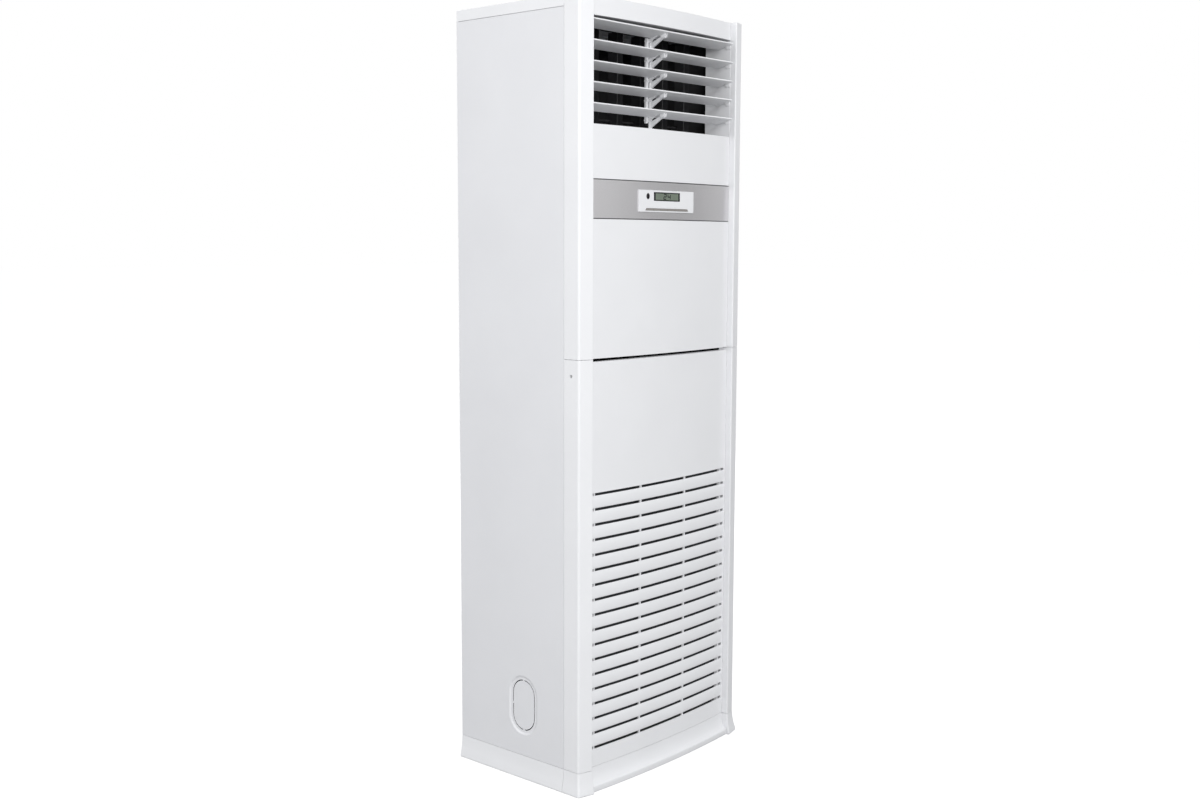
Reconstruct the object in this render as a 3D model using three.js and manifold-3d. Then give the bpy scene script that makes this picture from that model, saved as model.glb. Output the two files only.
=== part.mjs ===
// Floor standing air conditioner, in millimetres, +Z up, front facing -Y.
// The origin is on the floor under the middle of the foot.
import * as THREE from 'three';
import { mergeVertices } from 'three/addons/utils/BufferGeometryUtils.js';
import Module from 'manifold-3d';

const wasm = await Module();
wasm.setup();

// ---- Driving dimensions -------------------------------------------------------------------

// Cabinet
const WIDTH = 600;
const DEPTH = 400;              // pillar ridge to back
const HEIGHT = 1810;
const BACK_Y = 202;
const SHEET = 1.2;              // steel sheet
const WALL = 2.5;               // moulded wall
const GAP = 0.3;                // seat clearance
const SEAM = 0.8;               // seam that shows between covers
const PIN_PLAY = 0.3;           // radial clearance of every pin in its hole
const FOLD = 15;                // folded edge of a sheet

// Corner pillars
const PILLAR_WIDTH = 37.5;      // side face to front ridge
const PILLAR_SLANT = 9;         // outer corner lies this far behind the ridge
const PILLAR_CORNER = 6;
const RIDGE_ROUND = 3;
const PANEL_RECESS = 17;        // edge of the bowed front behind the ridge
const SIDE_SEAM = 56;           // pillar and side panel meet, behind the ridge
const LEDGE = 14;               // the front panels rest on it

// Bowed front
const BOW = 12;
const BOW_STEPS = 12;
const RETURN_DEPTH = 12;        // folded edge of a front panel

// Heights of the seams
const PLINTH_TOP = 54.7;
const PANEL_SPLIT = 1010;
const FINGER_SLOT = 7;
const COVER_SKIRT = 26;         // side of the top cover
const HEADER_HEIGHT = 42;
const OUTLET_HEIGHT = 235;
const DECO_HEIGHT = 120.5;
const BAND_HEIGHT = 88.5;

// Plinth
const FLARE = 7;
const LIP_FORWARD = 16;         // foot lip stands out from the bowed front
const LIP_HEIGHT = 16;

// Intake grille
const SLITS = 18;
const FIRST_SLIT_Z = 699;
const SLIT_PITCH = 35.2;
const SLIT_HEIGHT = 6.5;
const SLAT_BULGE = 2;
const GRILLE_BORDER = 7;
const GRILLE_RIB_X = 84;
const GRILLE_RIB = 4;
const TONGUE_X = 150;
const TONGUE_WIDTH = 30;
const TONGUE_DROP = 6;

// Air filter
const FILTER_INSET = 23.7;      // filter edge inside the panel's edge
const FILTER_OVER = 17;         // filter above the first slit
const FILTER_THICK = 5;
const FILTER_SPACE = 8;         // behind the grille
const FILTER_FRAME = 10;

// Louvres
const LOUVRES = 5;
const LOUVRE_HEADROOM = 8;      // first front edge below the outlet's top
const LOUVRE_PITCH = 45.6;
const LOUVRE_PROUD = 7;         // front edge ahead of the outlet walls
const LOUVRE_CHORD = 45;
const LOUVRE_THICK = 4;
const LOUVRE_TILT = 16;         // degrees, front edge up
const LOUVRE_END_GAP = 1;
const PIVOT_BACK = 14;          // pivot behind the front edge, along the chord
const PIVOT_DROP = 7;           // pivot below the blade's middle plane
const LOUVRE_PIN = 2;
const CRANK_BACK = 40;          // link pin behind the pivot
const CRANK_DROP = 9;
const LINK_WIDTH = 8;
const LINK_THICK = 5;
const LINK_X = -9;
const POST_X = 6;
const POST_WIDTH = 10;
const POST_THICK = 3.5;
const BUSH_RADIUS = 4.5;
const BUSH_WIDTH = 5;
const ARM_DROP = 22;            // foot of each arm below its bush
const OUTLET_DEPTH = 76;        // white side wall, front to back

// Vertical vanes
const VANES = 6;
const VANE_PITCH = 85;
const VANE_FRONT = 14;          // behind the outlet walls
const VANE_CHORD = 46;
const VANE_THICK = 2;
const VANE_PIVOT = 16;          // behind the vane's front edge
const VANE_PIN = 2;
const VANE_CRANK = 36;          // link pin behind the pivot
const VANE_LINK_UP = 25;        // above the outlet floor
const VANE_LINK_THICK = 4;
const VANE_LINK_WIDTH = 8;
const RAIL_THICK = 3;
const RAIL_DEPTH = 50;

// Display module and buttons
const MODULE_WIDTH = 203;
const MODULE_HEIGHT = 50.5;
const MODULE_DROP = 45.3;       // its middle below the band's top
const MODULE_PROUD = 1.5;
const MODULE_DEPTH = 18;
const LCD_WIDTH = 97;
const LCD_HEIGHT = 19.5;
const LCD_RISE = 10.8;          // above the module's middle
const LCD_THICK = 2;
const RECEIVER_X = -70;
const RECEIVER_WIDTH = 11.6;
const RECEIVER_HEIGHT = 13.7;
const BUTTONS = 6;
const BUTTON_PITCH = 26;
const BUTTON_WIDTH = 25;
const BUTTON_HEIGHT = 4.6;
const BUTTON_FALL = 19.2;       // below the module's middle
const BUTTON_SLANT = 1.6;
const BUTTON_TRAVEL = 1;
const BUTTON_STEM = 6;

// Pipe knock-out in the side panels
const KNOCKOUT_Y = -10;
const KNOCKOUT_Z = 178;
const KNOCKOUT_WIDTH = 72;
const KNOCKOUT_HEIGHT = 124;
const DISH_MARGIN = 5.5;
const DISH_SLOPE = 5;
const DISH_DEPTH = 2.5;
const CUT_LINE = 2.4;
const CUT_BRIDGE = 5;

// Blower
const FAN_X = -25;
const FAN_Z = 400;
const WHEEL_RADIUS = 160;
const WHEEL_WIDTH = 110;
const WHEEL_BLADES = 28;
const BLADE_DEPTH = 28;
const HUB_RADIUS = 22;
const SHAFT_RADIUS = 6;
const WHEEL_CLEAR = 12;         // wheel to the housing plates
const HOUSING_FRONT_Y = -115;
const INLET_RADIUS = 126;
const SCROLL_CLEAR = 18;        // wheel to the throat's tongue
const SCROLL_GROWTH = 0.44;     // of the wheel radius, over the turn
const TONGUE_ANGLE = 60;
const SHELF_Z = 699;
const MOTOR_RADIUS = 55;
const MOTOR_LENGTH = 80;
const MOTOR_FLANGE = 72;

// Evaporator and drain pan
const COIL_MARGIN = 35;         // coil end inside the side face
const COIL_THICK = 40;
const COIL_GROOVES = 26;
const COIL_BENDS = 6;
const COIL_LENGTH = 760;
const COIL_TILT = 16;           // degrees from upright, head forward
const PAN_DEPTH = 100;
const PAN_HEIGHT = 28;

// Electrical box
const BOX_WIDTH = 130;
const BOX_DEPTH = 60;
const BOX_HEIGHT = 199.7;
const BOX_FROM_SIDE = 46;
const BOX_RAIL = 20;

// Pillar screw
const SCREW_BACK = 34;          // behind the ridge
const SCREW_Z = 973;
const SCREW_HEAD = 3.4;

// ---- Places that follow from them -----------------------------------------------------------

const OUTLET_TOP = HEIGHT - HEADER_HEIGHT;
const OUTLET_BOTTOM = OUTLET_TOP - OUTLET_HEIGHT;
const BAND_TOP = OUTLET_BOTTOM - DECO_HEIGHT;
const BAND_BOTTOM = BAND_TOP - BAND_HEIGHT;
const ROOF_SEAM = HEIGHT - COVER_SKIRT;
const MODULE_Z = BAND_TOP - MODULE_DROP;
const LCD_Z = MODULE_Z + LCD_RISE;
const BUTTON_Z = MODULE_Z - BUTTON_FALL;
const SIDE_X = WIDTH / 2;
const RIDGE_Y = BACK_Y - DEPTH;
const RIDGE_X = SIDE_X - PILLAR_WIDTH;
const PANEL_HALF = RIDGE_X - SEAM;
const EDGE_Y = RIDGE_Y + PANEL_RECESS;
const LEDGE_Y = EDGE_Y + RETURN_DEPTH + GAP;
const SEAM_Y = RIDGE_Y + SIDE_SEAM;
const PILLAR_BACK = SEAM_Y - SEAM / 2;
const SIDE_FRONT = SEAM_Y + SEAM / 2;
const OUTLET_BACK = EDGE_Y + OUTLET_DEPTH;
const COVER_BOTTOM = PLINTH_TOP + SEAM;
const REAR_INNER = BACK_Y - 2 * SHEET - GAP;
const PAN_X = SIDE_X - WALL - GAP;
const rad = THREE.MathUtils.degToRad;
const bowY = (x) => EDGE_Y - BOW * (1 - (x / PANEL_HALF) ** 2);
const BOW_Y = bowY(0);

// ---- Solids ---------------------------------------------------------------------------------

// Points are held on a micrometre grid, so that faces meant to meet do meet.
function solid(shape) {
  if (!shape.isBufferGeometry) return shape;
  const bare = shape.clone();
  bare.deleteAttribute('normal');
  bare.deleteAttribute('uv');
  const points = bare.attributes.position.array;
  points.forEach((value, i) => { points[i] = Math.round(value * 1000) / 1000; });
  const merged = mergeVertices(bare, 1e-4);
  return new wasm.Manifold(new wasm.Mesh({
    numProp: 3,
    vertProperties: Float32Array.from(merged.attributes.position.array),
    triVerts: Uint32Array.from(merged.index.array),
  }));
}

function geometryOf(shape) {
  if (shape.isBufferGeometry) return shape;
  const mesh = shape.getMesh();
  const geometry = new THREE.BufferGeometry();
  geometry.setAttribute('position', new THREE.BufferAttribute(mesh.vertProperties, 3));
  geometry.setIndex(new THREE.BufferAttribute(mesh.triVerts, 1));
  return geometry;
}

const fuse = (...shapes) => shapes.flat().map(solid).reduce((whole, next) => whole.add(next));
const cut = (base, ...tools) => tools.flat().map(solid).reduce((left, tool) => left.subtract(tool), solid(base));
const common = (a, b) => solid(a).intersect(solid(b));

function mirrored(shape) {
  const geometry = geometryOf(solid(shape));
  geometry.scale(-1, 1, 1);
  const index = geometry.index.array;
  for (let i = 1; i < index.length; i += 3) [index[i], index[i + 1]] = [index[i + 1], index[i]];
  return geometry;
}

function box(x0, x1, y0, y1, z0, z1) {
  const geometry = new THREE.BoxGeometry(x1 - x0, y1 - y0, z1 - z0);
  return geometry.translate((x0 + x1) / 2, (y0 + y1) / 2, (z0 + z1) / 2);
}

// Extrudes an outline along one axis. The outline is (y, z) for x, (x, z) for y and (x, y) for z.
function prism(outline, axis, from, to) {
  const shape = new THREE.Shape(outline.map(([u, v]) => new THREE.Vector2(u, v)));
  const geometry = new THREE.ExtrudeGeometry(shape, { depth: to - from, bevelEnabled: false });
  const [X, Y, Z] = [[1, 0, 0], [0, 1, 0], [0, 0, 1]].map((v) => new THREE.Vector3(...v));
  const turn = new THREE.Matrix4();
  if (axis === 'x') turn.makeBasis(Y, Z, X).setPosition(from, 0, 0);
  if (axis === 'y') turn.makeBasis(X, Z, Y.negate()).setPosition(0, to, 0);
  if (axis === 'z') turn.setPosition(0, 0, from);
  return geometry.applyMatrix4(turn);
}

// A round bar along one axis, its centre given in the two coordinates of a prism's outline.
function bar(axis, [u, v], radius, from, to, sides = 12) {
  const geometry = new THREE.CylinderGeometry(radius, radius, to - from, sides);
  const middle = (from + to) / 2;
  if (axis === 'x') return geometry.rotateZ(-Math.PI / 2).translate(middle, u, v);
  if (axis === 'y') return geometry.translate(u, middle, v);
  return geometry.rotateX(Math.PI / 2).translate(u, v, middle);
}

// Joins closed rings of [x, y, z] points into a solid. "flat" names the axis the rings stand on.
function loft(rings, flat) {
  const count = rings[0].length;
  const [u, v] = [0, 1, 2].filter((k) => k !== flat);
  const cap = THREE.ShapeUtils.triangulateShape(rings[0].map((p) => new THREE.Vector2(p[u], p[v])), []);
  const along = cap.some((face) => face.some((a, i) => face[(i + 1) % 3] === (a + 1) % count));
  const last = (rings.length - 1) * count;
  const faces = cap.flatMap(([a, b, c]) => {
    const [first, second] = along ? [b, c] : [c, b];
    return [[a, second, first], [last + a, last + first, last + second]];
  });
  for (let start = 0; start < last; start += count) {
    for (let i = 0; i < count; i += 1) {
      const [a, b] = [start + i, start + ((i + 1) % count)];
      faces.push([a, b, b + count], [a, b + count, a + count]);
    }
  }
  const points = rings.flat().map((p) => new THREE.Vector3(...p));
  const volume = faces.reduce((sum, [a, b, c]) => (
    sum + points[a].dot(points[b].clone().cross(points[c]))), 0);
  const geometry = new THREE.BufferGeometry().setFromPoints(points);
  geometry.setIndex(faces.flatMap(([a, b, c]) => (volume > 0 ? [a, b, c] : [a, c, b])));
  return geometry;
}

const range = (count) => Array.from({ length: count }, (_, i) => i);
const arc = ([u, v], radius, from, to, steps) => range(steps + 1).map((i) => {
  const angle = rad(from + ((to - from) * i) / steps);
  return [u + radius * Math.cos(angle), v + radius * Math.sin(angle)];
});
const oval = ([u, v], width, height, steps = 24) => range(steps).map((i) => {
  const angle = (2 * Math.PI * i) / steps;
  return [u + (width / 2) * Math.cos(angle), v + (height / 2) * Math.sin(angle)];
});

// ---- Assembly -------------------------------------------------------------------------------

const unit = new THREE.Group();
unit.name = 'floor_air_conditioner';

function add(name, shape, color, roughness = 0.5, metalness = 0) {
  const geometry = geometryOf(solid(shape));
  geometry.computeVertexNormals();
  const mesh = new THREE.Mesh(geometry, new THREE.MeshStandardMaterial({ color, roughness, metalness }));
  mesh.name = name;
  unit.add(mesh);
}

const WHITE = '#ececee';
const SILVER = '#b4b3b8';
const STEEL = '#b9bcbf';
const BLACK = '#1c1d1f';
const DARK = '#3a3c40';

// ---- Base pan and plinth ----------------------------------------------------------------------

const PAN_FRONT = LEDGE_Y + WALL;
const PAN_REAR = BACK_Y - WALL - GAP;
const PAN_FLOOR = 2;
const RIM_TOP = COVER_BOTTOM - GAP;
const PLINTH_INNER = PAN_FRONT - GAP;

function basePan() {
  const inner = [PAN_X - SHEET, PAN_FRONT + SHEET, PAN_REAR - SHEET];
  return cut(
    box(-PAN_X, PAN_X, PAN_FRONT, PAN_REAR, 0, RIM_TOP),
    box(-inner[0], inner[0], inner[1], inner[2], PAN_FLOOR, RIM_TOP - SHEET),
    box(FOLD - PAN_X, PAN_X - FOLD, PAN_FRONT + FOLD, PAN_REAR - FOLD, PAN_FLOOR, RIM_TOP + 1),
  );
}
add('base_pan', basePan(), STEEL, 0.45, 0.6);

// Plan of a right pillar: side face, round corner, slanted facet, ridge and inner return.
function pillarPlan(flare = 0, ledge = false) {
  const side = SIDE_X + flare;
  const corner = RIDGE_Y + PILLAR_SLANT - flare;
  const front = RIDGE_Y - flare;
  const outer = [
    [side, PILLAR_BACK],
    ...arc([side - PILLAR_CORNER, corner + PILLAR_CORNER], PILLAR_CORNER, 0, -76, 5),
    ...arc([RIDGE_X + RIDGE_ROUND, front + RIDGE_ROUND], RIDGE_ROUND, -104, -180, 4),
  ];
  const inner = [
    [RIDGE_X + WALL, RIDGE_Y + WALL + 1],
    [SIDE_X - PILLAR_CORNER, RIDGE_Y + PILLAR_SLANT + WALL],
    [SIDE_X - WALL, RIDGE_Y + PILLAR_SLANT + PILLAR_CORNER],
  ];
  if (!ledge) {
    return [...outer, [RIDGE_X, PLINTH_INNER], [RIDGE_X + WALL, PLINTH_INNER], ...inner,
      [SIDE_X - WALL, PILLAR_BACK]];
  }
  const fold = SIDE_X - FOLD;
  const tab = SIDE_FRONT - GAP;
  return [...outer,
    [RIDGE_X, LEDGE_Y], [RIDGE_X - LEDGE, LEDGE_Y],
    [RIDGE_X - LEDGE, LEDGE_Y + WALL], [RIDGE_X + WALL, LEDGE_Y + WALL],
    ...inner,
    [SIDE_X - WALL, tab - WALL], [fold, tab - WALL], [fold, tab],
    [SIDE_X - SHEET, tab], [SIDE_X - SHEET, PILLAR_BACK]];
}

// The feet flare out towards the floor.
const FOOT_RINGS = [[0, 0.75], [2, 1], [9, 0.9], [20, 0.55], [35, 0.22], [PLINTH_TOP, 0]];

function plinthCorner() {
  return loft(FOOT_RINGS.map(([z, share]) => pillarPlan(FLARE * share).map(([x, y]) => [x, y, z])), 2);
}
add('plinth_corner_right', plinthCorner(), WHITE);
add('plinth_corner_left', mirrored(plinthCorner()), WHITE);

const flaredOutline = (face, inner) => [
  [inner, 0], ...FOOT_RINGS.map(([z, share]) => [face + FLARE * share, z]), [inner, PLINTH_TOP]];

const plinthSide = () => prism(flaredOutline(SIDE_X, SIDE_X - WALL), 'y', SIDE_FRONT, BACK_Y);
add('plinth_side_right', plinthSide(), WHITE);
add('plinth_side_left', mirrored(plinthSide()), WHITE);
const REAR_HALF = PAN_X - GAP;
add('plinth_rear', prism(flaredOutline(BACK_Y, BACK_Y - WALL), 'x', -REAR_HALF, REAR_HALF), WHITE);

// Concave cove over a rounded lip, following the bow of the front.
function plinthFront() {
  const cove = range(7).map((i) => {
    const angle = (Math.PI / 2) * (i / 6);
    return [-(LIP_FORWARD - 2) * (1 - Math.cos(angle)), PLINTH_TOP - (PLINTH_TOP - LIP_HEIGHT) * Math.sin(angle)];
  });
  const lip = [[-LIP_FORWARD + 0.6, LIP_HEIGHT - 1.5], [-LIP_FORWARD, LIP_HEIGHT - 4],
    [-LIP_FORWARD, 2.5], [-LIP_FORWARD + 1.5, 0], [-LIP_FORWARD + WALL + 1, 0],
    [-LIP_FORWARD + WALL + 1, LIP_HEIGHT - 6]];
  const inside = cove.slice(1, -1).reverse().map(([u, z]) => [u + WALL, z - 1]);
  const profile = [...cove, ...lip, ...inside, [WALL, PLINTH_TOP]];
  const rings = bowXs(PANEL_HALF).map((x) => profile.map(([u, z]) => [x, bowY(x) + u, z]));
  const shelf = [...bowCurve(PANEL_HALF, WALL / 2), [PANEL_HALF, PLINTH_INNER], [-PANEL_HALF, PLINTH_INNER]];
  const slots = [-TONGUE_X, TONGUE_X].map((x) => box(
    x - TONGUE_WIDTH / 2 - 1, x + TONGUE_WIDTH / 2 + 1, TONGUE_FRONT - GAP, TONGUE_FRONT + TONGUE_SWEEP,
    0, PLINTH_TOP + 1));
  return cut(fuse(loft(rings, 0), prism(shelf, 'z', PLINTH_TOP - WALL, PLINTH_TOP)), slots);
}

function bowXs(half) {
  return range(BOW_STEPS + 1).map((i) => half * ((2 * i) / BOW_STEPS - 1));
}

function bowCurve(half, offset) {
  return bowXs(half).map((x) => [x, bowY(x) + offset]);
}

const TONGUE_THICK = 3.5;
const TONGUE_FRONT = bowY(TONGUE_X) + 4;
const TONGUE_SWEEP = TONGUE_THICK + 2.2;
add('plinth_front', plinthFront(), WHITE);

// ---- Steel shell ------------------------------------------------------------------------------

const PANEL_TOP = ROOF_SEAM - SEAM / 2;

// A box whose x bounds are given for the right side and turned over for the left.
function sideBox(side, u0, u1, ...rest) {
  const [x0, x1] = [side * u0, side * u1].sort((a, b) => a - b);
  return box(x0, x1, ...rest);
}

// An upright slot with half-round ends.
const obround = ([u, v], width, height, steps = 12) => [1, -1].flatMap((end) => range(steps + 1).map((i) => {
  const angle = (Math.PI * i) / steps + (end > 0 ? 0 : Math.PI);
  return [u + (width / 2) * Math.cos(angle), v + (end * (height - width)) / 2 + (width / 2) * Math.sin(angle)];
}));

// The slot-shaped knock-out of the left panel lies in a shallow dish and hangs on three bridges.
function knockOut(sheet) {
  const slot = (width, height) => obround([KNOCKOUT_Y, KNOCKOUT_Z], width, height);
  const ring = (x, grow) => slot(KNOCKOUT_WIDTH + 2 * grow, KNOCKOUT_HEIGHT + 2 * grow)
    .map(([y, z]) => [-x, y, z]);
  const dish = (shift, extra) => loft([
    ring(SIDE_X - shift, DISH_MARGIN + DISH_SLOPE + extra),
    ring(SIDE_X - DISH_DEPTH - shift, DISH_MARGIN + extra)], 0);
  const [near, far] = [SIDE_X - 2 * DISH_DEPTH, SIDE_X + 1];
  const plug = (width, height) => loft([near, far].map((x) => (
    slot(width, height).map(([y, z]) => [-x, y, z]))), 0);
  const half = CUT_BRIDGE / 2;
  const line = cut(
    plug(KNOCKOUT_WIDTH, KNOCKOUT_HEIGHT),
    plug(KNOCKOUT_WIDTH - 2 * CUT_LINE, KNOCKOUT_HEIGHT - 2 * CUT_LINE),
    sideBox(-1, near, far, KNOCKOUT_Y - half, KNOCKOUT_Y + half, 0, 2 * KNOCKOUT_Z),
    sideBox(-1, near, far, KNOCKOUT_Y + 5, KNOCKOUT_Y + KNOCKOUT_WIDTH, KNOCKOUT_Z - half, KNOCKOUT_Z + half),
  );
  return cut(fuse(sheet, dish(SHEET, 1)), dish(-0.1, 0.1), line);
}

function sidePanel(side) {
  const [z0, z1] = [COVER_BOTTOM, PANEL_TOP];
  const fold = SIDE_X - FOLD;
  const channel = [[SIDE_X, SIDE_FRONT], [SIDE_X, BACK_Y], [fold, BACK_Y], [fold, BACK_Y - SHEET],
    [SIDE_X - SHEET, BACK_Y - SHEET], [SIDE_X - SHEET, SIDE_FRONT + SHEET],
    [fold, SIDE_FRONT + SHEET], [fold, SIDE_FRONT]].map(([x, y]) => [side * x, y]);
  const inset = SHEET / 2;
  const flange = (z) => sideBox(side, fold - 2, SIDE_X - inset, SIDE_FRONT + inset, BACK_Y - inset, z, z + SHEET);
  return fuse(prism(channel, 'z', z0, z1), flange(z0 + inset), flange(z1 - inset - SHEET));
}
add('side_panel_right', sidePanel(1), WHITE, 0.45, 0.1);
add('side_panel_left', knockOut(sidePanel(-1)), WHITE, 0.45, 0.1);

const LINER_X = SIDE_X - SHEET - GAP;

function rearPanel() {
  const half = LINER_X;
  const foot = COVER_BOTTOM + 1.5 * SHEET + GAP;
  const top = PANEL_TOP - 1.5 * SHEET - GAP;
  return fuse(
    box(-half, half, REAR_INNER, REAR_INNER + SHEET, foot, top),
    box(-half, half, REAR_INNER + SHEET - FOLD, REAR_INNER + SHEET, foot, foot + SHEET),
  );
}
add('rear_panel', rearPanel(), STEEL, 0.45, 0.5);

function topCover() {
  const [z0, z1] = [ROOF_SEAM + SEAM / 2, HEIGHT];
  const half = SIDE_X;
  const rim = SIDE_X - SHEET - FOLD / 2;
  const outer = roundedTop(half, z0, z1);
  const hollow = box(-half + WALL, half - WALL, SIDE_FRONT + WALL, BACK_Y - WALL, z0 - 1, z1 - WALL);
  const foot = PANEL_TOP + GAP;
  const ribs = [-1, 1].map((side) => box(
    side * rim - WALL / 2, side * rim + WALL / 2, SIDE_FRONT + FOLD, BACK_Y - FOLD, foot, z1 - WALL / 2));
  return fuse(cut(outer, hollow), ribs);
}

function roundedTop(half, z0, z1) {
  const r = 2;
  const outline = [[-half, z0], [half, z0], ...arc([half - r, z1 - r], r, 0, 90, 3),
    ...arc([r - half, z1 - r], r, 90, 180, 3)];
  return prism(outline, 'y', SIDE_FRONT, BACK_Y);
}
add('top_cover', topCover(), WHITE);

// ---- Corner pillars ---------------------------------------------------------------------------

function pillarCap() {
  return prism([...pillarPlan().slice(0, 12), [RIDGE_X, PILLAR_BACK]], 'z', HEIGHT - WALL, HEIGHT);
}

function pillarUpper() {
  const z0 = PANEL_SPLIT + SEAM / 2;
  const inner = RIDGE_X - LEDGE - 1;
  const outletWalls = box(inner, RIDGE_X + WALL + 1, EDGE_Y - GAP, PAN_FRONT + 1, OUTLET_BOTTOM, OUTLET_TOP);
  const ledges = [
    box(inner, RIDGE_X, EDGE_Y, PAN_FRONT + 1, OUTLET_BOTTOM - WALL - GAP, OUTLET_TOP + WALL + GAP),
    box(inner, RIDGE_X, EDGE_Y, PAN_FRONT + 1, HEIGHT - WALL - GAP, HEIGHT + 1),
  ];
  return fuse(cut(prism(pillarPlan(0, true), 'z', z0, HEIGHT - WALL), outletWalls, ledges), pillarCap());
}
add('pillar_upper_right', pillarUpper(), WHITE);
add('pillar_upper_left', mirrored(pillarUpper()), WHITE);

const SCREW_Y = RIDGE_Y + SCREW_BACK;

function pillarLower() {
  const at = [SCREW_Y, SCREW_Z];
  const body = prism(pillarPlan(0, true), 'z', COVER_BOTTOM, PANEL_SPLIT - SEAM / 2);
  const boss = bar('x', at, SCREW_HEAD + 2, SIDE_X - 2 * WALL, SIDE_X - 1, 16);
  const seat = bar('x', at, SCREW_HEAD + GAP, SIDE_X - WALL, SIDE_X + 1, 16);
  return cut(fuse(body, boss), seat, bar('x', at, 2, SIDE_X - 3 * WALL, SIDE_X, 12));
}
add('pillar_lower_right', pillarLower(), WHITE);
add('pillar_lower_left', mirrored(pillarLower()), WHITE);

function pillarScrew() {
  const at = [SCREW_Y, SCREW_Z];
  const head = SIDE_X - WALL + GAP;
  const cross = [box(head + 1, SIDE_X, SCREW_Y - 2, SCREW_Y + 2, SCREW_Z - 0.4, SCREW_Z + 0.4),
    box(head + 1, SIDE_X, SCREW_Y - 0.4, SCREW_Y + 0.4, SCREW_Z - 2, SCREW_Z + 2)];
  return cut(fuse(bar('x', at, SCREW_HEAD, head, head + 1.7, 16), bar('x', at, 1.7, head - 10, head + 1, 12)), cross);
}
add('pillar_screw_right', pillarScrew(), STEEL, 0.3, 0.9);
add('pillar_screw_left', mirrored(pillarScrew()), STEEL, 0.3, 0.9);

// ---- Bowed front panels -----------------------------------------------------------------------

const RETURN_BACK = LEDGE_Y - GAP;

function frontPanel(z0, z1, floorBack = RETURN_BACK, roofBack = RETURN_BACK) {
  const inner = PANEL_HALF - WALL;
  const face = [...bowCurve(PANEL_HALF, 0),
    [PANEL_HALF, RETURN_BACK], [inner, RETURN_BACK],
    ...bowCurve(inner, WALL).reverse(),
    [-inner, RETURN_BACK], [-PANEL_HALF, RETURN_BACK]];
  const plate = (back) => [...bowCurve(PANEL_HALF, 0), [PANEL_HALF, back], [-PANEL_HALF, back]];
  return fuse(prism(face, 'z', z0, z1),
    prism(plate(floorBack), 'z', z0, z0 + WALL), prism(plate(roofBack), 'z', z1 - WALL, z1));
}

const RAIL_BACK = OUTLET_BACK + RAIL_DEPTH;
add('header_panel', frontPanel(OUTLET_TOP, HEIGHT, RAIL_BACK, PILLAR_BACK), WHITE);
add('sill_panel', frontPanel(BAND_TOP + SEAM / 2, OUTLET_BOTTOM, RETURN_BACK, RAIL_BACK), WHITE);
add('middle_panel', frontPanel(PANEL_SPLIT, BAND_BOTTOM - SEAM / 2), WHITE);

const MODULE_HALF = MODULE_WIDTH / 2;
const MODULE_BOTTOM = MODULE_Z - MODULE_HEIGHT / 2;
const MODULE_TOP = MODULE_Z + MODULE_HEIGHT / 2;

function controlBand() {
  const opening = box(-MODULE_HALF - GAP, MODULE_HALF + GAP, BOW_Y - 5, BOW_Y + 10,
    MODULE_BOTTOM - GAP, MODULE_TOP + GAP);
  return cut(frontPanel(BAND_BOTTOM + SEAM / 2, BAND_TOP - SEAM / 2), opening);
}
add('control_band', controlBand(), SILVER, 0.35, 0.6);

// ---- Intake panel and filter ------------------------------------------------------------------

const INTAKE_TOP = PANEL_SPLIT - FINGER_SLOT;
const GRILLE_HALF = PANEL_HALF - GRILLE_BORDER;
const FILTER_HALF = PANEL_HALF - FILTER_INSET;
const FILTER_TOP = FIRST_SLIT_Z + FILTER_OVER;
const lastSlit = FIRST_SLIT_Z - (SLITS - 1) * SLIT_PITCH;
const FILTER_FRONT = bowY(FILTER_HALF) + WALL + FILTER_SPACE;
const FILTER_BOTTOM = lastSlit - SLIT_HEIGHT;
const GUIDE_BACK = FILTER_FRONT + FILTER_THICK + GAP;

// A slat is crowned between its two slits and runs flat into the borders.
function slat(z0, z1) {
  const rings = bowXs(GRILLE_HALF + 1).map((x, i) => {
    const crown = i === 0 || i === BOW_STEPS ? 0 : SLAT_BULGE;
    const y = bowY(x);
    return [[x, y + WALL, z0], [x, y + 0.8, z0], [x, y - crown * 0.75, z0 + 6], [x, y - crown * 0.9, z1 - 8],
      [x, y + 0.8, z1], [x, y + WALL, z1]];
  });
  return loft(rings, 0);
}

function intakePanel() {
  const field = box(-GRILLE_HALF, GRILLE_HALF, BOW_Y - 5, EDGE_Y + WALL + 1,
    lastSlit - SLIT_HEIGHT / 2, FIRST_SLIT_Z + SLIT_HEIGHT / 2);
  const half = SLIT_HEIGHT / 2;
  const slats = range(SLITS - 1).map((i) => {
    const z = FIRST_SLIT_Z - i * SLIT_PITCH;
    return slat(z - SLIT_PITCH + half, z - half);
  });
  const [ribFoot, ribHead] = [lastSlit - 2 * SLIT_HEIGHT, FIRST_SLIT_Z + 2 * SLIT_HEIGHT];
  const ribY = bowY(GRILLE_RIB_X);
  const ribs = [-1, 1].map((side) => box(
    side * GRILLE_RIB_X - GRILLE_RIB / 2, side * GRILLE_RIB_X + GRILLE_RIB / 2,
    ribY + 1.5, ribY + 6, ribFoot, ribHead));
  return fuse(cut(frontPanel(COVER_BOTTOM, INTAKE_TOP), field), slats, ribs,
    [-1, 1].flatMap((side) => filterGuide(side)), tongue(-TONGUE_X), tongue(TONGUE_X));
}

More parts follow.
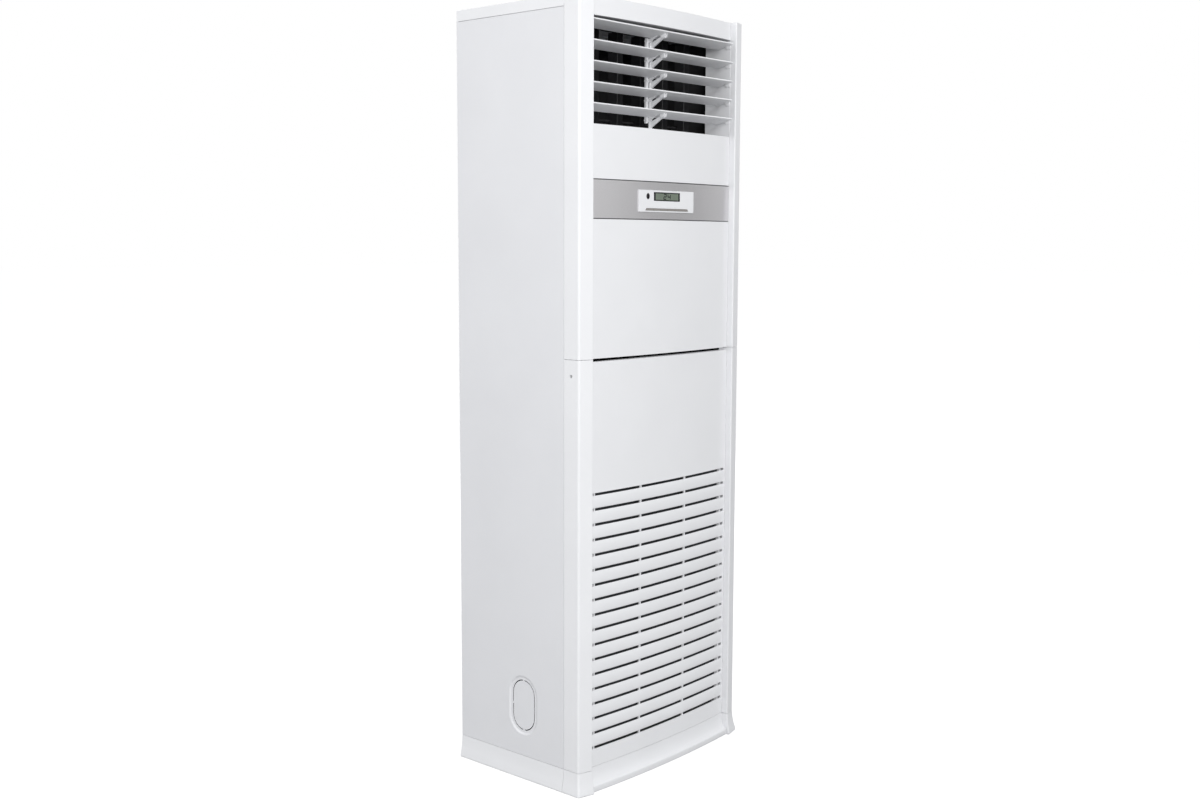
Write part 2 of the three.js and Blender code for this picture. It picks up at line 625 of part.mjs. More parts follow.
// An angle on each side of the filter, with a stop under it.
function filterGuide(side) {
  const at = (u0, u1, y1, z0, z1, y0) => {
    const [a, b] = [side * (FILTER_HALF + u0), side * (FILTER_HALF + u1)].sort((p, q) => p - q);
    return box(a, b, y0, y1, z0, z1);
  };
  const root = bowY(FILTER_HALF) + 1;
  const foot = FILTER_BOTTOM - GAP - WALL;
  return [
    at(GAP, GAP + WALL, GUIDE_BACK + 2, foot, FILTER_TOP, root),
    at(-4, GAP + 1, GUIDE_BACK + 2, foot, FILTER_TOP, GUIDE_BACK),
    at(-6, GAP + 1, GUIDE_BACK + 2, foot, foot + WALL, root),
  ];
}

function tongue(x) {
  return box(x - TONGUE_WIDTH / 2, x + TONGUE_WIDTH / 2, TONGUE_FRONT, TONGUE_FRONT + TONGUE_THICK,
    COVER_BOTTOM - TONGUE_DROP, COVER_BOTTOM + WALL / 2);
}
add('intake_panel', intakePanel(), WHITE);

function airFilter() {
  const [y0, y1] = [FILTER_FRONT, FILTER_FRONT + FILTER_THICK];
  const bars = [-GRILLE_RIB_X, 0, GRILLE_RIB_X].map((x) => box(x - 2, x + 2, y0, y1, FILTER_BOTTOM, FILTER_TOP));
  const rows = range(5).map((i) => {
    const z = FILTER_BOTTOM + ((i + 1) * (FILTER_TOP - FILTER_BOTTOM)) / 6;
    return box(-FILTER_HALF, FILTER_HALF, y0, y1, z - 2, z + 2);
  });
  const inner = FILTER_HALF - FILTER_FRAME;
  const frame = cut(box(-FILTER_HALF, FILTER_HALF, y0, y1, FILTER_BOTTOM, FILTER_TOP),
    box(-inner, inner, y0 - 1, y1 + 1, FILTER_BOTTOM + FILTER_FRAME, FILTER_TOP - FILTER_FRAME));
  const mesh = box(-inner - 1, inner + 1, y0 + 2, y0 + 3, FILTER_BOTTOM + 5, FILTER_TOP - 5);
  return fuse(frame, mesh, bars, rows);
}
add('air_filter', airFilter(), DARK, 0.8);

// ---- Outlet -----------------------------------------------------------------------------------

const tilt = rad(LOUVRE_TILT);
const WALL_X = PANEL_HALF;
const BLADE_FRONT_Y = EDGE_Y - LOUVRE_PROUD;
const PIVOT_Y = BLADE_FRONT_Y + PIVOT_BACK * Math.cos(tilt) - PIVOT_DROP * Math.sin(tilt);
const PIVOT_FALL = PIVOT_BACK * Math.sin(tilt) + PIVOT_DROP * Math.cos(tilt);
const pivotZ = (i) => OUTLET_TOP - LOUVRE_HEADROOM - PIVOT_FALL - i * LOUVRE_PITCH;
const CRANK_Y = PIVOT_Y + CRANK_BACK;
const POST_Y = CRANK_Y;

function outletWall() {
  const wall = box(WALL_X, WALL_X + WALL, EDGE_Y, OUTLET_BACK, OUTLET_BOTTOM + GAP, OUTLET_TOP - GAP);
  const bosses = range(LOUVRES).map((i) => bar('x', [PIVOT_Y, pivotZ(i)], LOUVRE_PIN + 1.8, WALL_X, WALL_X + 5, 10));
  const holes = range(LOUVRES).map((i) => (
    bar('x', [PIVOT_Y, pivotZ(i)], LOUVRE_PIN + PIN_PLAY, WALL_X - 1, WALL_X + 6, 10)));
  return cut(fuse(wall, bosses), holes);
}
add('outlet_wall_right', outletWall(), WHITE);
add('outlet_wall_left', mirrored(outletWall()), WHITE);

// Blade with a full front edge and a thin rear edge, in its own (chord, normal) plane.
const BLADE_SECTION = [[0, -1.2], [0, 1.2], [1.6, 2], [22, 1.8], [LOUVRE_CHORD, 0.6], [LOUVRE_CHORD, -0.6],
  [22, -1.8], [1.6, -2]];

function louvre(i) {
  const pivot = [PIVOT_Y, pivotZ(i)];
  const place = ([along, up]) => [
    pivot[0] + (along - PIVOT_BACK) * Math.cos(tilt) + (up + PIVOT_DROP) * Math.sin(tilt),
    pivot[1] - (along - PIVOT_BACK) * Math.sin(tilt) + (up + PIVOT_DROP) * Math.cos(tilt)];
  const half = WALL_X - LOUVRE_END_GAP;
  const blade = prism(BLADE_SECTION.map(place), 'x', -half, half);
  const ear = [[PIVOT_BACK - 4, -PIVOT_DROP - 3], [PIVOT_BACK + 4, -PIVOT_DROP - 3],
    [PIVOT_BACK + 9, 0], [PIVOT_BACK - 9, 0]].map(place);
  const ends = [[-half, -half + WALL], [half - WALL, half]].map(([a, b]) => prism(ear, 'x', a, b));
  const pins = [[-WALL_X - 4, -half + 1], [half - 1, WALL_X + 4]].map(([a, b]) => bar('x', pivot, LOUVRE_PIN, a, b, 10));
  const [a0, a1] = [POST_X - BUSH_WIDTH / 2 - 0.5, POST_X + BUSH_WIDTH / 2 + 0.5];
  const cheeks = [[a0 - 2, a0], [a1, a1 + 2]].map(([a, b]) => prism(ear, 'x', a, b));
  const axle = bar('x', pivot, LOUVRE_PIN, a0 - 1, a1 + 1, 10);
  const web0 = LINK_X + LINK_WIDTH / 2 + 0.4;
  const crank = [CRANK_Y, pivotZ(i) - CRANK_DROP];
  const web = prism([place([PIVOT_BACK - 2, 0]), [crank[0] - 2, crank[1] - 4], [crank[0] + 3.4, crank[1] - 3],
    [crank[0] + 3.4, crank[1] + 3], [crank[0] - 4, crank[1] + 5], place([PIVOT_BACK + 24, 0])], 'x', web0, web0 + 2.2);
  const pin = bar('x', crank, LOUVRE_PIN, LINK_X - LINK_WIDTH / 2 + 0.5, web0 + 1, 10);
  return fuse(blade, ends, pins, cheeks, axle, web, pin);
}
range(LOUVRES).forEach((i) => add(`louvre_${i + 1}`, louvre(i), WHITE));

function louvreLink() {
  const [x0, x1] = [LINK_X - LINK_WIDTH / 2, LINK_X + LINK_WIDTH / 2];
  const [low, high] = [pivotZ(LOUVRES - 1) - CRANK_DROP - 7, pivotZ(0) - CRANK_DROP + 7];
  const pins = range(LOUVRES).map((i) => [CRANK_Y, pivotZ(i) - CRANK_DROP]);
  const strip = box(x0, x1, CRANK_Y - LINK_THICK / 2, CRANK_Y + LINK_THICK / 2, low, high);
  return cut(fuse(strip, pins.map((at) => bar('x', at, LOUVRE_PIN + 2, x0, x1, 12))),
    pins.map((at) => bar('x', at, LOUVRE_PIN + PIN_PLAY, x0 - 1, x1 + 1, 10)));
}
add('louvre_link', louvreLink(), WHITE);

// Post with an arm to each blade, ending in two prongs round the blade's axle.
function louvrePost() {
  const arms = range(LOUVRES).map((i) => {
    const [py, pz] = [PIVOT_Y, pivotZ(i)];
    const back = POST_Y - POST_THICK / 2 + 1;
    const plate = prism([[back, pz - ARM_DROP - 5], [back, pz - ARM_DROP + 9], [py + 2, pz + 2.5],
      [py + 2, pz - 3.5]], 'x', POST_X - BUSH_WIDTH / 2, POST_X + BUSH_WIDTH / 2);
    const bush = bar('x', [py, pz], BUSH_RADIUS, POST_X - BUSH_WIDTH / 2, POST_X + BUSH_WIDTH / 2, 14);
    return [plate, bush];
  });
  const holes = range(LOUVRES).flatMap((i) => [
    bar('x', [PIVOT_Y, pivotZ(i)], LOUVRE_PIN + PIN_PLAY, -BUSH_WIDTH, POST_X + BUSH_WIDTH, 10),
    box(0, POST_X + BUSH_WIDTH, PIVOT_Y - BUSH_RADIUS - 1, PIVOT_Y, pivotZ(i) - 1.6, pivotZ(i) + 1.6)]);
  const strip = box(POST_X - POST_WIDTH / 2, POST_X + POST_WIDTH / 2, POST_Y - POST_THICK / 2,
    POST_Y + POST_THICK / 2, OUTLET_BOTTOM + GAP, OUTLET_TOP - GAP);
  return cut(fuse(strip, arms.flat()), holes);
}
add('louvre_post', louvrePost(), WHITE);

const VANE_FRONT_Y = OUTLET_BACK + VANE_FRONT;
const VANE_Y = VANE_FRONT_Y + VANE_PIVOT;
const VANE_LINK_Z = OUTLET_BOTTOM + VANE_LINK_UP;
const VANE_CRANK_Y = VANE_Y + VANE_CRANK;
const vaneX = (i) => (i - (VANES - 1) / 2) * VANE_PITCH;
const FLOOR_TOP = OUTLET_BOTTOM + GAP + RAIL_THICK;
const ROOF_LOW = OUTLET_TOP - GAP - RAIL_THICK;

function vaneRail(z0) {
  const rail = box(-WALL_X, WALL_X, OUTLET_BACK + GAP, RAIL_BACK, z0, z0 + RAIL_THICK);
  return cut(rail, range(VANES).map((i) => (
    bar('z', [vaneX(i), VANE_Y], VANE_PIN + PIN_PLAY, z0 - 1, z0 + RAIL_THICK + 1, 10))));
}
add('vane_rail_bottom', vaneRail(OUTLET_BOTTOM + GAP), BLACK, 0.6);
add('vane_rail_top', vaneRail(ROOF_LOW), BLACK, 0.6);

function vane(i) {
  const x = vaneX(i);
  const half = VANE_THICK / 2;
  const rear = VANE_FRONT_Y + VANE_CHORD;
  const [floor, roof] = [FLOOR_TOP + 0.6, ROOF_LOW - 0.6];
  const link = [VANE_LINK_Z, VANE_LINK_Z + VANE_LINK_THICK];
  const plate = prism([[x, VANE_FRONT_Y], [x + half, VANE_FRONT_Y + 8], [x + half, rear - 6], [x, rear],
    [x - half, rear - 6], [x - half, VANE_FRONT_Y + 8]], 'z', floor, roof);
  const notch = box(x - 5, x + 5, rear - 10, rear + 1, link[0] - 1, link[1] + 2);
  const arm = box(x - 3, x + 3, rear - 12, VANE_CRANK_Y + 3.5, link[0] - 3.4, link[0] - 0.4);
  return fuse(cut(plate, notch), arm,
    bar('z', [x, VANE_CRANK_Y], VANE_PIN, link[0] - 1, link[1] + 1, 10),
    bar('z', [x, VANE_Y], VANE_PIN, OUTLET_BOTTOM + GAP + 0.5, OUTLET_TOP - GAP - 0.5, 10));
}
range(VANES).forEach((i) => add(`vane_${i + 1}`, vane(i), BLACK, 0.6));

function vaneLink() {
  const reach = vaneX(VANES - 1) + 8;
  const strip = box(-reach, reach, VANE_CRANK_Y - VANE_LINK_WIDTH / 2, VANE_CRANK_Y + VANE_LINK_WIDTH / 2,
    VANE_LINK_Z, VANE_LINK_Z + VANE_LINK_THICK);
  return cut(strip, range(VANES).map((i) => bar('z', [vaneX(i), VANE_CRANK_Y], VANE_PIN + PIN_PLAY,
    VANE_LINK_Z - 1, VANE_LINK_Z + VANE_LINK_THICK + 1, 10)));
}
add('vane_link', vaneLink(), BLACK, 0.6);

// Geared motor under the outlet floor, below the last vane.
function swingMotor() {
  const [x, top] = [vaneX(VANES - 1), OUTLET_BOTTOM - WALL - GAP];
  return cut(fuse(bar('z', [x, VANE_Y], 14, top - 22, top, 20), box(x - 22, x + 22, VANE_Y - 4, VANE_Y + 4, top - 2, top)),
    [-18, 18].map((dx) => bar('z', [x + dx, VANE_Y], 1.7, top - 3, top + 1, 10)));
}
add('swing_motor', swingMotor(), STEEL, 0.4, 0.7);

// ---- Display module ---------------------------------------------------------------------------

const MODULE_FRONT = BOW_Y - MODULE_PROUD;
const MODULE_BACK = MODULE_FRONT + MODULE_DEPTH;
const MODULE_FACE = 4;
const BOARD_THICK = 1.6;
const BOARD_FRONT = MODULE_BACK - 4;
const BUTTON_HALF = (BUTTONS * BUTTON_PITCH) / 2;
const windowBox = (grow, y0, y1) => box(-LCD_WIDTH / 2 - grow, LCD_WIDTH / 2 + grow, y0, y1,
  LCD_Z - LCD_HEIGHT / 2 - grow, LCD_Z + LCD_HEIGHT / 2 + grow);
const receiver = (grow, y0, y1) => prism(
  oval([RECEIVER_X, LCD_Z], RECEIVER_WIDTH + 2 * grow, RECEIVER_HEIGHT + 2 * grow, 20), 'y', y0, y1);

// Plan of the button row from one x to another, slanted at the two ends of the row.
function keyOutline(x0, x1, half) {
  const slant = (x) => (Math.abs(x) > BUTTON_HALF - 1 ? BUTTON_SLANT * Math.sign(x) : 0);
  return [[x0 + slant(x0), BUTTON_Z - half], [x1 + slant(x1), BUTTON_Z - half],
    [x1 - slant(x1), BUTTON_Z + half], [x0 - slant(x0), BUTTON_Z + half]];
}

function displayHousing() {
  const wall = 2;
  const face = MODULE_FRONT + MODULE_FACE;
  const body = cut(
    box(-MODULE_HALF, MODULE_HALF, MODULE_FRONT, MODULE_BACK, MODULE_BOTTOM, MODULE_TOP),
    box(-MODULE_HALF + wall, MODULE_HALF - wall, face, MODULE_BACK + 1, MODULE_BOTTOM + wall, MODULE_TOP - wall));
  const posts = [-1, 1].flatMap((sx) => [-1, 1].map((sz) => {
    const [x, z] = [sx * (MODULE_HALF - 5), MODULE_Z + sz * (MODULE_HEIGHT / 2 - 5)];
    return box(x - 3.5, x + 3.5, face - 1, BOARD_FRONT - GAP, z - 3.5, z + 3.5);
  }));
  return cut(fuse(body, posts),
    windowBox(GAP, MODULE_FRONT - 1, MODULE_FRONT + LCD_THICK + GAP), windowBox(-2, MODULE_FRONT, face + 1),
    receiver(GAP, MODULE_FRONT - 1, MODULE_FRONT + LCD_THICK + GAP), receiver(-1.5, MODULE_FRONT, face + 1),
    prism(keyOutline(-BUTTON_HALF, BUTTON_HALF, BUTTON_HEIGHT / 2 + GAP), 'y', MODULE_FRONT - 1, face + 1));
}
add('display_housing', displayHousing(), WHITE);
add('lcd_window', windowBox(0, MODULE_FRONT + 0.2, MODULE_FRONT + LCD_THICK), '#6d7468', 0.15);
add('receiver_window', receiver(0, MODULE_FRONT + 0.2, MODULE_FRONT + LCD_THICK), BLACK, 0.15);

function button(i) {
  const x = (i - (BUTTONS - 1) / 2) * BUTTON_PITCH;
  const half = BUTTON_WIDTH / 2;
  const face = MODULE_FRONT + MODULE_FACE + GAP;
  const stop = BOARD_FRONT - 2 - BUTTON_TRAVEL - 0.1;
  return fuse(
    prism(keyOutline(x - half, x + half, BUTTON_HEIGHT / 2), 'y', MODULE_FRONT - 1.2, face + 1),
    box(x - half, x + half, face, face + 1.5, BUTTON_Z - BUTTON_HEIGHT / 2 - 1, BUTTON_Z + BUTTON_HEIGHT / 2 + 1),
    box(x - BUTTON_STEM / 2, x + BUTTON_STEM / 2, face, stop, BUTTON_Z - 1.5, BUTTON_Z + 1.5));
}
range(BUTTONS).forEach((i) => add(`button_${i + 1}`, button(i), '#a3a09c', 0.45));

function displayBoard() {
  const half = MODULE_HALF - 2.5;
  const switches = range(BUTTONS).map((i) => {
    const x = (i - (BUTTONS - 1) / 2) * BUTTON_PITCH;
    return box(x - 3, x + 3, BOARD_FRONT - 2, BOARD_FRONT + 1, BUTTON_Z - 3, BUTTON_Z + 3);
  });
  return fuse(box(-half, half, BOARD_FRONT, BOARD_FRONT + BOARD_THICK, MODULE_BOTTOM + 2.5, MODULE_TOP - 2.5), switches);
}
add('display_board', displayBoard(), '#2f5b3a', 0.6);

// ---- Blower -----------------------------------------------------------------------------------

const SHELF_TOP = SHELF_Z + SHEET;
const THROAT_TOP = SHELF_Z - GAP;
const WHEEL_FRONT = HOUSING_FRONT_Y + WALL + WHEEL_CLEAR;
const WHEEL_BACK = WHEEL_FRONT + WHEEL_WIDTH;
const HOUSING_BACK = WHEEL_BACK + WHEEL_CLEAR + WALL;
const SCROLL_START = WHEEL_RADIUS + SCROLL_CLEAR;
const SCROLL_END = SCROLL_START + SCROLL_GROWTH * WHEEL_RADIUS;
const THROAT_LEFT = FAN_X - SCROLL_END;
const THROAT_RIGHT = FAN_X + SCROLL_START * Math.cos(rad(TONGUE_ANGLE));

function blowerShelf() {
  const back = REAR_INNER - GAP;
  const front = PAN_FRONT + FOLD;
  const sheet = box(-LINER_X, LINER_X, front, back, SHELF_Z, SHELF_TOP);
  const folds = [[-LINER_X, -LINER_X + SHEET], [LINER_X - SHEET, LINER_X]].map(([a, b]) => (
    box(a, b, SIDE_FRONT + FOLD, back, SHELF_Z - FOLD, SHELF_TOP)));
  const clear = 1;
  const corner = [-1, 1].map((side) => box(side * LINER_X - FOLD, side * LINER_X + FOLD, front - 1,
    SIDE_FRONT + SHEET + GAP, SHELF_Z - 1, SHELF_TOP + 1));
  return cut(fuse(sheet, folds), corner, box(THROAT_LEFT + clear, THROAT_RIGHT - clear,
    HOUSING_FRONT_Y + WALL + clear, HOUSING_BACK - WALL - clear, SHELF_Z - 1, SHELF_TOP + 1));
}
add('blower_shelf', blowerShelf(), STEEL, 0.45, 0.6);

// Spiral round the wheel, opening upwards on the left.
function scroll(offset, top) {
  const steps = 24;
  const spiral = range(steps + 1).map((i) => {
    const angle = rad(TONGUE_ANGLE - ((TONGUE_ANGLE + 180) * i) / steps);
    const r = SCROLL_START + offset + ((SCROLL_END - SCROLL_START) * i) / steps;
    return [FAN_X + r * Math.cos(angle), FAN_Z + r * Math.sin(angle)];
  });
  return [[THROAT_RIGHT + offset, top], ...spiral, [THROAT_LEFT - offset, top]];
}

function blowerHousing() {
  const centre = [FAN_X, FAN_Z];
  const lip = 10;
  const collar = box(THROAT_LEFT - lip, THROAT_RIGHT + lip, HOUSING_FRONT_Y - lip, HOUSING_BACK + lip,
    THROAT_TOP - WALL, THROAT_TOP);
  const mouth = cut(bar('y', centre, INLET_RADIUS + WALL, HOUSING_FRONT_Y - 6, WHEEL_FRONT - 4, 40),
    bar('y', centre, INLET_RADIUS, HOUSING_FRONT_Y - 7, WHEEL_FRONT, 40));
  const shell = cut(fuse(prism(scroll(WALL, THROAT_TOP), 'y', HOUSING_FRONT_Y, HOUSING_BACK), collar),
    prism(scroll(0, THROAT_TOP + 1), 'y', HOUSING_FRONT_Y + WALL, HOUSING_BACK - WALL),
    bar('y', centre, INLET_RADIUS, HOUSING_FRONT_Y - 1, WHEEL_FRONT, 40),
    bar('y', centre, HUB_RADIUS + 8, WHEEL_BACK, HOUSING_BACK + 1, 24));
  return fuse(shell, mouth);
}
add('blower_housing', blowerHousing(), '#d9dadb', 0.5);

function blowerWheel() {
  const centre = [FAN_X, FAN_Z];
  const rim = WHEEL_RADIUS - BLADE_DEPTH;
  const at = (r, degrees) => [FAN_X + r * Math.cos(rad(degrees)), FAN_Z + r * Math.sin(rad(degrees))];
  const blades = range(WHEEL_BLADES).map((i) => {
    const a = (360 * i) / WHEEL_BLADES;
    return prism([at(rim + 1, a), at(rim + 14, a + 1.4), at(WHEEL_RADIUS - 1, a + 6), at(WHEEL_RADIUS - 0.4, a + 5.2),
      at(rim + 15, a + 0.7), at(rim + 1, a - 0.7)], 'y', WHEEL_FRONT + 1, WHEEL_BACK - 1);
  });
  const ring = cut(bar('y', centre, WHEEL_RADIUS, WHEEL_FRONT, WHEEL_FRONT + 3, 36),
    bar('y', centre, rim, WHEEL_FRONT - 1, WHEEL_FRONT + 4, 36));
  const disc = bar('y', centre, WHEEL_RADIUS, WHEEL_BACK - 2, WHEEL_BACK, 36);
  const hub = bar('y', centre, HUB_RADIUS, WHEEL_BACK - 30, WHEEL_BACK + 4, 20);
  return cut(fuse(disc, ring, hub, blades), bar('y', centre, SHAFT_RADIUS + PIN_PLAY, WHEEL_FRONT, HOUSING_BACK, 12));
}
add('blower_wheel', blowerWheel(), '#8d9092', 0.5);

function fanMotor() {
  const centre = [FAN_X, FAN_Z];
  const face = HOUSING_BACK + GAP;
  const feet = range(4).map((i) => {
    const angle = rad(45 + 90 * i);
    return bar('y', [FAN_X + 64 * Math.cos(angle), FAN_Z + 64 * Math.sin(angle)], 3, face - 1, face + 4, 10);
  });
  return cut(fuse(
    bar('y', centre, MOTOR_FLANGE, face, face + 3, 32),
    bar('y', centre, MOTOR_RADIUS, face, face + MOTOR_LENGTH - 8, 32),
    bar('y', centre, MOTOR_RADIUS - 8, face, face + MOTOR_LENGTH, 32),
    bar('y', centre, SHAFT_RADIUS, WHEEL_BACK - 36, face + 5, 12)), feet);
}
add('fan_motor', fanMotor(), DARK, 0.4, 0.7);

// ---- Evaporator -------------------------------------------------------------------------------

const COIL_WIDTH = WIDTH - 2 * COIL_MARGIN;
const PAN_BACK = REAR_INNER - 6;
const PAN_BASE = SHELF_TOP + GAP;

function drainPan() {
  const half = COIL_WIDTH / 2 + 22;
  const wall = 2;
  return cut(fuse(
    cut(box(-half, half, PAN_BACK - PAN_DEPTH, PAN_BACK, PAN_BASE, PAN_BASE + PAN_HEIGHT),
      box(-half + wall, half - wall, PAN_BACK - PAN_DEPTH + wall, PAN_BACK - wall, PAN_BASE + wall, PAN_BASE + PAN_HEIGHT + 1)),
    bar('x', [PAN_BACK - 20, PAN_BASE + 10], 8, -half - 8, -half + 1, 14)),
  bar('x', [PAN_BACK - 20, PAN_BASE + 10], 6, -half - 9, -half + 3, 14));
}
add('drain_pan', drainPan(), DARK, 0.6);

// Grooved fin block between end plates, with return bends on the right, leaning forward.
function evaporatorCoil() {
  const [half, deep] = [COIL_WIDTH / 2, COIL_THICK / 2];
  const block = box(-half, half, -deep, deep, 0, COIL_LENGTH);
  const pitch = COIL_WIDTH / (COIL_GROOVES + 1);
  const grooves = range(COIL_GROOVES).flatMap((i) => {
    const x = -half + (i + 1) * pitch;
    return [[-deep - 1, -deep + 4], [deep - 4, deep + 1]].map(([a, b]) => box(x - 3, x + 3, a, b, 6, COIL_LENGTH - 6));
  });
  const step = COIL_LENGTH / (COIL_BENDS * 2);
  const bends = range(COIL_BENDS).map((i) => {
    const z = step * (2 * i + 1);
    const path = arc([0, 0], step / 2, -90, 90, 6);
    const rings = path.map(([out, up]) => arc([0, 0], 4.5, 0, 315, 7).map(([a, b]) => {
      const r = step / 2 + a;
      const angle = Math.atan2(up, out);
      return [half - 1 + r * Math.cos(angle) * 0.55, b, z + r * Math.sin(angle)];
    }));
    return loft(rings, 0);
  });
  const lean = rad(COIL_TILT);
  const shape = geometryOf(fuse(cut(block, grooves), bends));
  shape.rotateX(lean);
  return shape.translate(0, PAN_BACK - PAN_DEPTH / 2, PAN_BASE + 2 + GAP + deep * Math.sin(lean));
}
add('evaporator_coil', evaporatorCoil(), '#a9abae', 0.4, 0.7);

function electricalBox() {
  const [x1, y0, z0] = [SIDE_X - BOX_FROM_SIDE, SIDE_FRONT + FOLD, SHELF_TOP + GAP];
  const [x0, y1, z1] = [x1 - BOX_WIDTH, y0 + BOX_DEPTH, z0 + BOX_HEIGHT];
  const shell = cut(box(x0, x1, y0, y1, z0, z1), box(x0 + 2, x1 - 2, y0 - 1, y1 - 2, z0 + 2, z1 - 2));
  const rails = [0.3, 0.6].map((share) => {
    const z = z0 + share * (z1 - z0);
    return box(x0 + 1, x1 - 1, y0 + BOX_RAIL, y1 - 1, z, z + 2);
  });
  return fuse(shell, rails);
}
add('electrical_box', electricalBox(), DARK, 0.6);

export default unit;
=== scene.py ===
import math

import bmesh
import bpy
from mathutils import Matrix, Vector


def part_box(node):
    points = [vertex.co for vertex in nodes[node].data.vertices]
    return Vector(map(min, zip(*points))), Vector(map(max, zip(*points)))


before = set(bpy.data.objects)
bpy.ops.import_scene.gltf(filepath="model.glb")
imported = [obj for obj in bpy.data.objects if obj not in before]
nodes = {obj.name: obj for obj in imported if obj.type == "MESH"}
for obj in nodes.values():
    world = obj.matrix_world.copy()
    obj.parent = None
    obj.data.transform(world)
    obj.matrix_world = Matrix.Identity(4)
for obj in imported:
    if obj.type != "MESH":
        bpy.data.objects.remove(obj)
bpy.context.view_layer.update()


# ---- Camera --------------------------------------------------------------------------------
# About chest height, in front of the cabinet's front left corner, on a moderate lens.
# Its place and turn come from the cabinet's edges in the photograph.

CAMERA_PLACE = Vector((-2.5654, -2.2496, 1.268))
CAMERA_YAW = math.radians(48.574)
CAMERA_PITCH = math.radians(6.446)
CAMERA_ROLL = math.radians(0.183)
CAMERA_LENS = 41.457
SENSOR_WIDTH = 36.0


def aim_camera():
    data = bpy.data.cameras.new("studio_camera")
    data.lens = CAMERA_LENS
    data.sensor_width = SENSOR_WIDTH
    camera = bpy.data.objects.new("studio_camera", data)
    forward = Vector((math.sin(CAMERA_YAW) * math.cos(CAMERA_PITCH),
                      math.cos(CAMERA_YAW) * math.cos(CAMERA_PITCH), -math.sin(CAMERA_PITCH)))
    level = Vector((math.cos(CAMERA_YAW), -math.sin(CAMERA_YAW), 0.0))
    lift = level.cross(forward)
    right = math.cos(CAMERA_ROLL) * level + math.sin(CAMERA_ROLL) * lift
    upright = -math.sin(CAMERA_ROLL) * level + math.cos(CAMERA_ROLL) * lift
    turn = Matrix((right, upright, -forward)).transposed().to_4x4()
    camera.matrix_world = Matrix.Translation(CAMERA_PLACE) @ turn
    bpy.context.scene.collection.objects.link(camera)
    bpy.context.scene.camera = camera


aim_camera()


# ---- White moulded covers --------------------------------------------------------------------
# Injection moulded covers in a cool white: pillars, front panels, plinth, top cover and louvres.
# They snap and screw onto the steel shell, and have a satin skin with a very fine grain and
# slightly uneven gloss. Edges that show close up are rounded.

class Socket:
    """One output of a material's nodes, which adds, multiplies and compares with others."""

    def __init__(self, tree, output):
        self.tree = tree
        self.output = output

    def math(self, operation, other=0.0):
        node = self.tree.nodes.new("ShaderNodeMath")
        node.operation = operation
        self.tree.links.new(self.output, node.inputs[0])
        if isinstance(other, Socket):
            self.tree.links.new(other.output, node.inputs[1])
        else:
            node.inputs[1].default_value = other
        return Socket(self.tree, node.outputs[0])

    def __add__(self, other):
        return self.math("ADD", other)

    __radd__ = __add__

    def __mul__(self, other):
        return self.math("MULTIPLY", other)

    __rmul__ = __mul__

    def __sub__(self, other):
        return self.math("SUBTRACT", other)

    def __rsub__(self, other):
        return (self * -1.0) + other

    def node(self, kind, output=0, into=0, inputs=None, **settings):
        """Any other node, by its type, settings and values, with this socket led into it."""
        made = self.tree.nodes.new(kind)
        for name, value in settings.items():
            setattr(made, name, value)
        self.tree.links.new(self.output, made.inputs[into])
        for name, value in (inputs or {}).items():
            made.inputs[name].default_value = value
        return Socket(self.tree, made.outputs[output])

    def axis(self, number):
        """One axis of these coordinates: 0 across, 1 deep, 2 upward."""
        return self.node("ShaderNodeSeparateXYZ", output=number)


class Finish:
    """A named material with its Principled shader and Object coordinates."""

    def __init__(self, name, **uniform):
        self.material = bpy.data.materials.new(name)
        self.material.use_nodes = True
        self.tree = self.material.node_tree
        self.shader = next(n for n in self.tree.nodes if n.type == "BSDF_PRINCIPLED")
        for key, value in uniform.items():
            self.shader.inputs[key.replace("_", " ")].default_value = value
        place = self.tree.nodes.new("ShaderNodeTexCoord")
        self.place = Socket(self.tree, place.outputs["Object"])

    def noise(self, scale, detail=3.0):
        return self.place.node("ShaderNodeTexNoise", inputs={"Scale": scale, "Detail": detail})

    def ramp(self, factor, low, high, start=0.0, end=1.0):
        made = factor.node("ShaderNodeValToRGB")
        elements = made.output.node.color_ramp.elements
        elements[0].position, elements[1].position = start, end
        elements[0].color, elements[1].color = (*low, 1.0), (*high, 1.0)
        return made

    def feed(self, name, socket):
        self.tree.links.new(socket.output, self.shader.inputs[name])

    def gloss(self, scale, rough, spread):
        """Roughness that drifts over the surface, from rough up to rough and spread."""
        self.feed("Roughness", self.noise(scale) * spread + rough)

    def bump(self, height, strength, distance):
        self.feed("Normal", height.node("ShaderNodeBump", into="Height",
                                        inputs={"Strength": strength, "Distance": distance}))


MOTTLE_SCALE = 6.0
MOTTLE_FROM, MOTTLE_TO = 0.3, 0.7
GLOSS_SCALE = 14.0
GLOSS_SPREAD = 0.12
GRAIN_SCALE, GRAIN_DETAIL = 900.0, 2.0
GRAIN_STRENGTH = 0.12
GRAIN_HEIGHT = 0.0002


def plain_finish(name, low, high, rough, grain=GRAIN_SCALE, strength=GRAIN_STRENGTH):
    """A solid colour with a faint mottle, uneven gloss and a fine grain."""
    finish = Finish(name)
    mottle = finish.noise(MOTTLE_SCALE)
    finish.feed("Base Color", finish.ramp(mottle, low, high, MOTTLE_FROM, MOTTLE_TO))
    finish.gloss(GLOSS_SCALE, rough - GLOSS_SPREAD / 2, GLOSS_SPREAD)
    finish.bump(finish.noise(grain, GRAIN_DETAIL), strength, GRAIN_HEIGHT)
    return finish.material


MOULDED_WHITE = plain_finish("moulded_white", (0.80, 0.805, 0.82), (0.82, 0.825, 0.84), 0.42)
ROUND_EDGE = 0.0006
SLAT_EDGE = 0.0009
EDGE_STEPS = 2
SAME_POINT = 0.000004
FLAT_ANGLE = math.radians(0.25)
EDGE_ANGLE = math.radians(40)
SMOOTH_ANGLE = math.radians(32)
NORMAL_WEIGHT = 50


